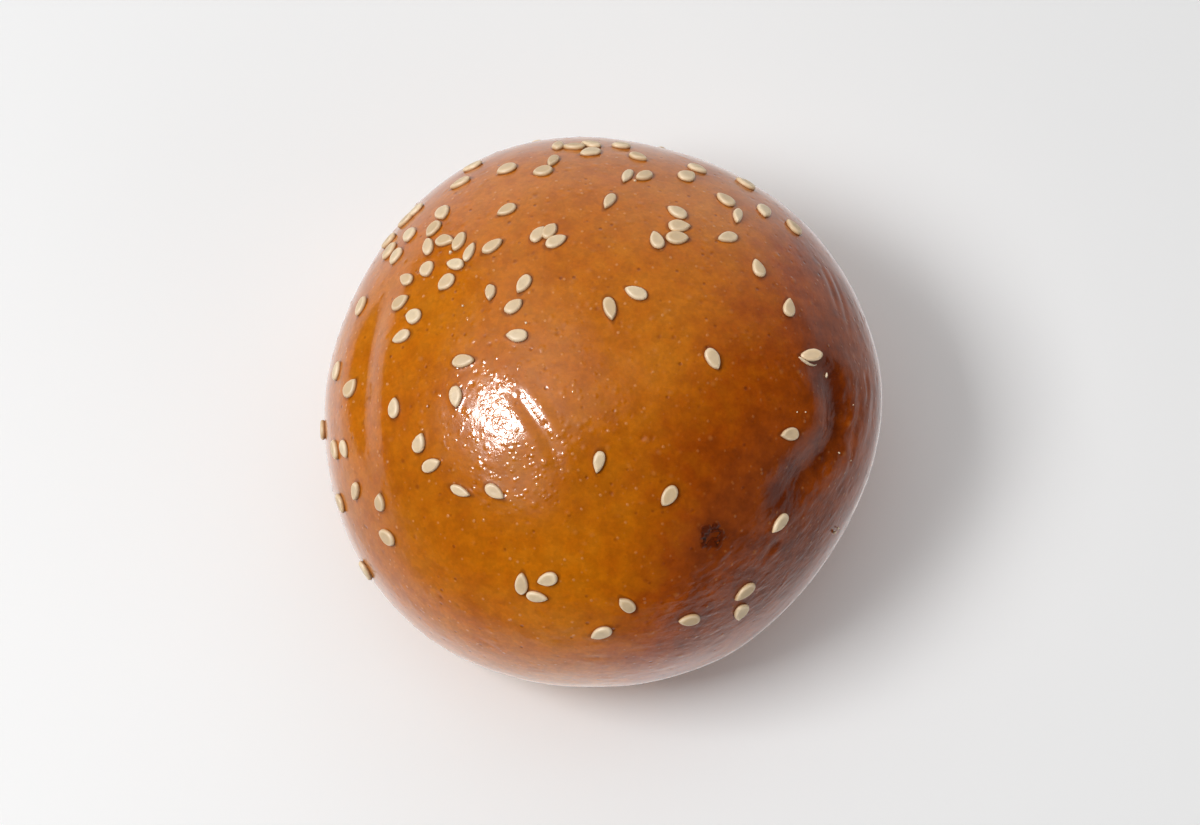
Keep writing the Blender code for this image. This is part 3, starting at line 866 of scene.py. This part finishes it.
class Nodes:
    """The shader nodes of a material or a world, made and joined in few words."""

    def __init__(self, owner):
        owner.use_nodes = True
        self.owner = owner
        self.tree = owner.node_tree
        self.shader = self.tree.nodes.get("Principled BSDF") or self.tree.nodes["Background"]

    def put(self, socket, value):
        if isinstance(value, bpy.types.NodeSocket):
            self.tree.links.new(value, socket)
        elif socket.type == "RGBA":
            socket.default_value = (*value, 1)
        else:
            socket.default_value = value

    def set(self, values):
        for name, value in values.items():
            self.put(self.shader.inputs[name], value)

    def add(self, kind, inputs, out=0, **settings):
        """One output of a new node, with its inputs by name or number."""
        node = self.tree.nodes.new("ShaderNode" + kind)
        for name, value in settings.items():
            setattr(node, name, value)
        for key, value in inputs.items():
            self.put(node.inputs[key], value)
        return node.outputs[out]

    def maths(self, operation, first, *others):
        """The operation on the first value and the next, then on that and the one after it, and so on."""
        for value in others:
            first = self.add("Math", {0: first, 1: value}, operation=operation)
        return first

    def plus(self, *values):
        return self.maths("ADD", *values)

    def times(self, *values):
        return self.maths("MULTIPLY", *values)

    def fit(self, value, low, high, to_low=0.0, to_high=1.0, kind="LINEAR"):
        values = (value, low, high, to_low, to_high)
        return self.add("MapRange", dict(enumerate(values)), interpolation_type=kind)

    def ramp(self, factor, stops):
        made = self.add("ValToRGB", {0: factor})
        elements = made.node.color_ramp.elements
        while len(elements) < len(stops):
            elements.new(0.5)
        for element, (place, colour) in zip(elements, stops):
            element.position = place
            element.color = (*colour, 1)
        return made

    def tinted(self, colour, *layers):
        """The colour with each layer mixed in: how much of it, and its own colour."""
        for share, tint in layers:
            colour = self.add("Mix", {0: share, 6: colour, 7: tint}, out=2, data_type="RGBA")
        return colour

    def scaled(self, vector, share):
        return self.add("VectorMath", {0: vector, "Scale": share}, operation="SCALE")

    def attribute(self, name):
        return self.add("Attribute", {}, out=2, attribute_name=name)

    def place(self):
        return self.add("TexCoord", {}, out="Object")

    def noise(self, across, detail=2.0, roughness=0.5, place=None):
        inputs = {"Scale": 1 / across, "Detail": detail, "Roughness": roughness}
        return self.add("TexNoise", {"Vector": place or self.place(), **inputs})

    def pimples(self, apart, radius):
        """Round bumps of random height, this far apart, with this radius as a share of that."""
        distance = self.add("TexVoronoi", {"Vector": self.place(), "Scale": 1 / apart})
        pick = self.add("SeparateColor", {0: distance.node.outputs["Color"]})
        far = self.maths("DIVIDE", distance, radius)
        inside = self.fit(self.times(far, far), 1, 0)
        return self.times(inside, inside, self.maths("POWER", pick, 1.5))

    def cells(self, apart, seam):
        """Seams between uneven cells, this far apart and this wide as a share of that."""
        wobble = self.add("TexNoise", {"Vector": self.place(), "Scale": 1 / apart, "Detail": 1.0}, out=1)
        shift = {0: wobble, 1: (apart * 0.5,) * 3, 2: self.place()}
        shifted = self.add("VectorMath", shift, operation="MULTIPLY_ADD")
        edge = self.add("TexVoronoi", {"Vector": shifted, "Scale": 1 / apart}, feature="DISTANCE_TO_EDGE")
        return self.fit(edge, 0, seam, 1, 0)

    def bumps(self, *heights, strength=1.0):
        """The surface's normal with these heights on it, each with the distance that 1 of it stands for."""
        normal = {}
        for height, distance in heights:
            inputs = {"Strength": strength, "Distance": distance, "Height": height, **normal}
            normal = {"Normal": self.add("Bump", inputs)}
        return normal["Normal"]


def crust_material():
    n = Nodes(bpy.data.materials.new("crust"))
    x, y, z = n.add("SeparateXYZ", {0: n.place()}).node.outputs
    to_front_right = n.maths("SUBTRACT", x, n.times(y, 0.35))
    # Paler low on the sides, a little browner towards the front, browner towards the right, which is partly
    # real over-browning and partly painted shade, and painted shade along the deep crease
    browning_and_painted_shade = n.plus(
        n.fit(z, 3 * MM, 24 * MM, 0.18, 0.46),
        n.fit(to_front_right, 9 * MM, 23 * MM, 0, 0.33),
        n.fit(to_front_right, 23 * MM, 36 * MM, 0, 0.07),
        n.fit(y, -4 * MM, -20 * MM, 0, 0.04),
        n.fit(n.attribute("crease_shade"), 0.1, 0.9, 0, 0.14),
        n.fit(n.noise(13 * MM), 0.3, 0.7, -0.07, 0.07),
        n.fit(n.noise(2.6 * MM, 3, 0.55), 0.35, 0.65, -0.06, 0.06),
    )
    patches = n.fit(n.noise(1.7 * MM, 3, 0.6), 0.44, 0.56, 1, 1.13)
    freckles = n.fit(n.noise(0.5 * MM), 0.3, 0.7, 0.93, 1.07)
    # Painted light and shade: the low front left is lightened as painted bounce light, and the crust is
    # darkened towards the front as painted shade
    painted_low_front_light = n.times(n.fit(y, -20 * MM, -33 * MM), n.fit(x, 18 * MM, 2 * MM, 0, 0.18))
    painted_front_light_and_shade = n.plus(painted_low_front_light, n.fit(y, -8 * MM, -18 * MM, 1, 0.92))
    pimple, grain = n.pimples(1.15 * MM, 0.26), n.pimples(1.7 * MM, 0.22)
    # fewer on the shaded front right, as the pale dots are partly painted glints
    pale = n.times(n.fit(pimple, 0.05, 0.5), n.fit(to_front_right, 4 * MM, 18 * MM, 0.55, 0.2))
    colour = n.tinted(
        n.scaled(n.ramp(browning_and_painted_shade, CRUST_COLOURS), n.times(patches, freckles, painted_front_light_and_shade)),
        (pale, (0.72, 0.30, 0.09)),  # pale pimples where the skin is thin, partly painted glints, fewer on the shaded front right
        (n.fit(grain, 0.1, 0.6, 0, 0.5), (0.14, 0.02, 0.001)),  # dark grains
        (n.fit(n.attribute("blister"), 0.3, 1.2, 0, 0.3), (0.62, 0.23, 0.05)),
        (n.fit(n.attribute("pit"), 0.1, 1, 0, 0.4), (0.16, 0.022, 0.001)),
        (n.fit(n.noise(1.1 * MM, 3, 0.6), 0.68, 0.78, 0, 0.3), (0.24, 0.034, 0.001)),  # specks
        (n.attribute("burnt"), (0.105, 0.014, 0.001)),
        (n.fit(n.attribute("char"), 0.1, 0.8, 0, 0.9), (0.025, 0.006, 0.001)),
        (n.fit(n.attribute("near"), 0.7, 1, 0, 0.55), (0.12, 0.025, 0.002)),  # against a seed: darker pooled egg wash, and painted contact shade
        (n.fit(z, 0.3 * MM, 4 * MM, 1, 0), (0.40, 0.19, 0.06)),  # the base, which lay on the tray
    )
    # The base is matt, and the egg wash is thinner on the front and the right
    washed = n.times(
        n.fit(y, -8 * MM, -30 * MM, 0.85, 0.68),
        n.fit(x, 20 * MM, 34 * MM, 1, 0.8),
        n.fit(n.attribute("dull"), 0.1, 0.9, 1, 0.25),
        n.fit(z, 0.3 * MM, 4 * MM),
    )
    # Fine bubbles in the egg wash, most of them near the crown, and skin stretched level round the sides
    gleam = n.fit(n.attribute("gleam"), 0, 1, 0.3, 1)
    net = n.times(n.cells(0.75 * MM, 0.13), n.fit(n.noise(2.2 * MM), 0.36, 0.5), n.fit(gleam, 0.75, 0.95))
    level = n.add("VectorMath", {0: n.place(), 1: (0.5, 0.5, 1)}, operation="MULTIPLY")
    skin = n.times(n.noise(0.7 * MM, 3, place=level), n.plus(n.attribute("rough"), 0.15))
    normal = n.bumps(
        (n.times(n.noise(0.5 * MM, 1), gleam), 0.004 * MM),
        (n.times(n.pimples(0.6 * MM, 0.5), gleam), 0.009 * MM),
        (net, -0.016 * MM),
        (n.maths("SUBTRACT", pimple, grain), 0.06 * MM),
        (skin, 0.18 * MM),
    )
    n.set({
        "Base Color": colour,
        "Roughness": n.fit(z, 0.3 * MM, 8 * MM, 0.75, 0.33),
        "Specular IOR Level": 0.12,
        "Coat Weight": washed,
        "Coat Roughness": 0.13,
        "Coat IOR": 1.55,
        "Normal": normal,
        "Coat Normal": normal,
    })
    return n.owner


def seed_material():
    n = Nodes(bpy.data.materials.new("seeds"))
    ring = n.attribute("ring")
    rim = n.times(n.fit(ring, 0.6, 0.82), n.fit(ring, 0.98, 0.88), 0.5)
    cream = n.tinted(
        n.ramp(n.fit(n.attribute("tone"), -1, 1), SEED_COLOURS),
        (n.fit(n.noise(0.7 * MM, 3), 0.4, 0.7, 0, 0.3), (0.55, 0.38, 0.2)),
        (n.fit(n.attribute("along"), 0.34, 0.5, 0, 0.4), (0.42, 0.24, 0.10)),  # the tip
        (rim, (0.92, 0.74, 0.53)),
        (n.fit(ring, 0.75, 0.3, 0, 0.4), (0.60, 0.47, 0.32)),  # the middle
        (n.fit(n.attribute("rise"), 0.15, -0.15, 0, 0.75), (0.42, 0.17, 0.05)),  # darker and oranger where it meets the crust: painted shade and orange bounce light from the crust
    )
    normal = n.bumps((n.noise(0.25 * MM, 3), 0.03 * MM), strength=0.5)
    n.set({
        "Base Color": cream, "Roughness": 0.5, "Coat Weight": 0.12, "Coat Roughness": 0.25, "Normal": normal,
    })
    return n.owner


def make_floor():
    """The table. The crust mirrors the room's lower half in its place."""
    bm = bmesh.new()
    bmesh.ops.create_grid(bm, x_segments=1, y_segments=1, size=FLOOR_HALF)
    floor = smooth_piece("floor", *emptied(bm), {})
    n = Nodes(bpy.data.materials.new("floor"))
    n.set({
        "Base Color": (FLOOR_ALBEDO,) * 3,
        "Roughness": 0.7,
        "Emission Color": (1, 1, 1),
        "Emission Strength": FLOOR_GLOW,
    })
    floor.data.materials.append(n.owner)
    floor.location.z = -FLOOR_DROP
    floor.visible_glossy = False
    floor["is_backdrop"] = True


def make_camera():
    right, up, forward, eye = view_axes()
    camera = linked("camera", bpy.data.cameras.new("camera"))
    camera.data.lens = LENS
    camera.data.sensor_width = FRAME_WIDTH
    camera.data.sensor_fit = "HORIZONTAL"
    camera.data.clip_start = CLIP_START
    camera.matrix_world = Matrix((right, up, -forward)).transposed().to_4x4()
    camera.location = eye
    bpy.context.scene.camera = camera


def softbox(name, panel, mirrored=False, roll=0):
    """A soft panel that faces the bun. The crust either mirrors it or is lit by it."""
    azimuth, elevation, distance, width, height, radiance = panel
    around, above = math.radians(azimuth), math.radians(elevation)
    way = Vector((math.cos(above) * math.cos(around), math.cos(above) * math.sin(around), math.sin(above)))
    light = bpy.data.lights.new(name, "AREA")
    light.shape = "RECTANGLE"
    light.size, light.size_y = width, height
    light.energy = radiance * math.pi * width * height
    made = linked(name, light)
    made.location = LIT_POINT + way * distance
    turned = way.to_track_quat("Z", "Y").to_matrix() @ Matrix.Rotation(math.radians(roll), 3, "Z")
    made.rotation_euler = turned.to_euler()
    made.visible_camera = False
    made.visible_glossy = mirrored
    made.visible_diffuse = not mirrored


def sky(world):
    """A dim room with a pale wall behind the bun, a low band on the right, a glow overhead and a table."""
    n = Nodes(world)
    place = n.add("TexCoord", {}, out="Generated")

    def cosine(way):
        ways = {0: place, 1: Vector(way).normalized()}
        return n.add("VectorMath", ways, out="Value", operation="DOT_PRODUCT")

    def soft(value, dark, bright):
        return n.fit(value, dark, bright, kind="SMOOTHSTEP")

    up = cosine((0, 0, 1))
    level = n.maths("POWER", n.maths("SUBTRACT", 1.001, n.times(up, up)), 0.5)  # never quite 0

    def turned(way):
        return n.maths("DIVIDE", cosine(way), level)

    def part(fade, angle, spot, bright):
        way, dark, full = spot
        return n.times(fade(angle(way), dark, full), bright)

    wall = n.times(part(n.fit, turned, WALL_WAY, WALL), part(soft, turned, WALL_END, 1), n.fit(up, *WALL_UP))
    band = n.times(part(soft, turned, BAND_WAY, BAND), soft(up, *BAND_UP))
    glows = [part(soft, cosine, spot, bright) for bright, spot in ((CEILING, CEILING_WAY), *GLOWS)]
    room = n.times(n.plus(wall, band, *glows), soft(up, *ROOM_UP))
    right = n.maths("SUBTRACT", 1, part(n.fit, turned, RIGHT_WAY, RIGHT_DIM))
    front = n.maths("SUBTRACT", 1, n.times(part(soft, turned, FRONT_WAY, FRONT_DIM), soft(up, *FRONT_UP)))
    near = n.plus(n.times(n.fit(up, *NEAR_UP), TABLE_NEAR), TABLE)
    table = n.times(near, soft(up, *TABLE_UP), right, front)
    n.set({"Color": (1, 1, 1), "Strength": n.plus(room, table, ROOM)})


def make_light():
    softbox("key", KEY)
    softbox("glint", GLINT, mirrored=True, roll=GLINT_ROLL)
    softbox("fill", FILL)
    softbox("over", OVER)
    world = bpy.context.scene.world or bpy.data.worlds.new("world")
    bpy.context.scene.world = world
    sky(world)
    bpy.context.scene.view_settings.view_transform = "Standard"


def main():
    points, quads, tree, smooth_tree, frames = make_crust()
    seeds, sizes = make_seeds(frames)
    crust, bubbled = finish_crust(points, quads, tree, smooth_tree, sizes)
    baked = [*crust, bubbled, make_char(smooth_tree)]
    pale = [seeds, make_crumbs(tree)]
    for pieces, look in ((baked, crust_material()), (pale, seed_material())):
        for piece in pieces:
            piece.data.materials.append(look)
            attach(piece, "root")
            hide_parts("bun")
    make_floor()
    make_camera()
    make_light()


main()
[[list(corner) for corner in box] for box in (cad_box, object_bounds())]
